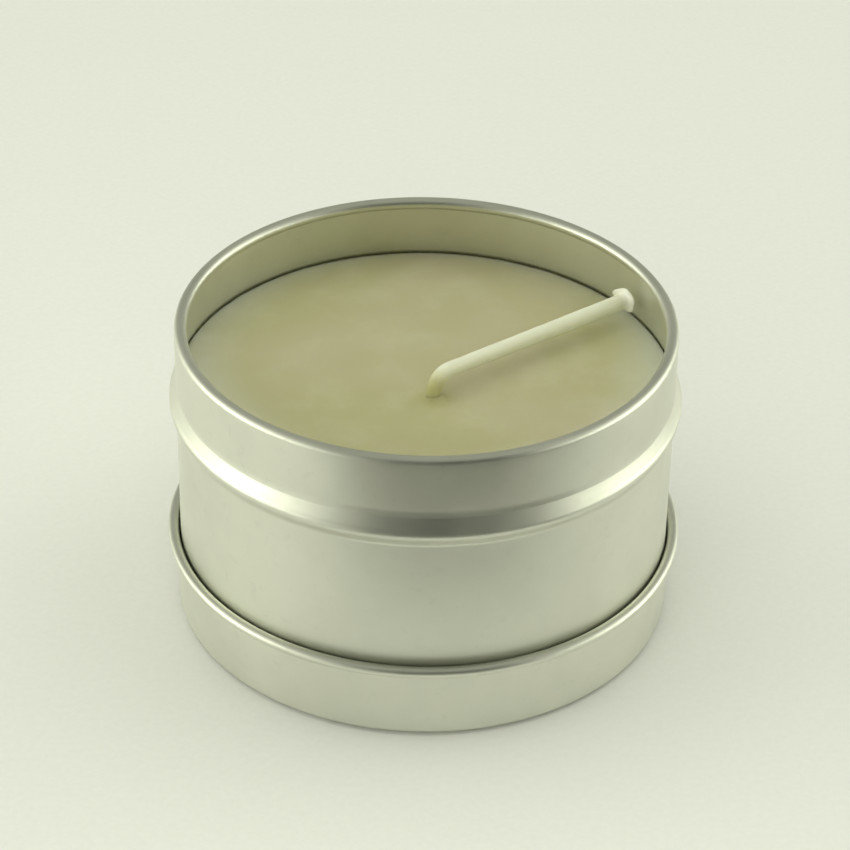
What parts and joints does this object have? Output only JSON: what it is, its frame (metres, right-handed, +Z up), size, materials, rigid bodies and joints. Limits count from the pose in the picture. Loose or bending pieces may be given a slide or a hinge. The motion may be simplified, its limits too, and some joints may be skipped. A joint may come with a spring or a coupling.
{
  "type": "candle tin",
  "caption": "Round slip-lid candle tin with a lid-stop bead, filled with wax round a tabbed wick that is bent over, standing in its upturned lid.",
  "frame": {"origin": "centre of the underside of the upturned lid, on the surface that the tin stands on", "axes": "+Z up along the tin's axis; -Y is the side that faces the viewer, and the wick lies over towards +X and +Y"},
  "size_m": [0.083, 0.083, 0.0513],
  "materials": {
    "tinplate": "satin",
    "tab_steel": "satin",
    "wax": "satin",
    "waxed_cotton": "satin",
    "wick_core": "matte",
    "sticker_foam": "matte"
  },
  "bodies": {
    "lid": {"lid": "tinplate"},
    "tin": {"tin_body": "tinplate", "wax_fill": "wax", "wick_sticker": "sticker_foam", "wick_sustainer": "tab_steel", "wick_braid_lower": "waxed_cotton", "wick_core_lower": "wick_core"},
    "wick": {"wick_braid_upper": "waxed_cotton", "wick_core_upper": "wick_core"}
  },
  "joints": [
    {"name": "tin_lift", "type": "slide", "parent": "lid", "child": "tin", "axis": [0, 0, 1], "range_m": [0, 0.03]},
    {"name": "wick_bend", "type": "hinge", "parent": "tin", "child": "wick", "pos_m": [0.00141, -0.00551, 0.04428], "axis": [0.6211, -0.7837, 0], "range_deg": [0, 85]}
  ]
}
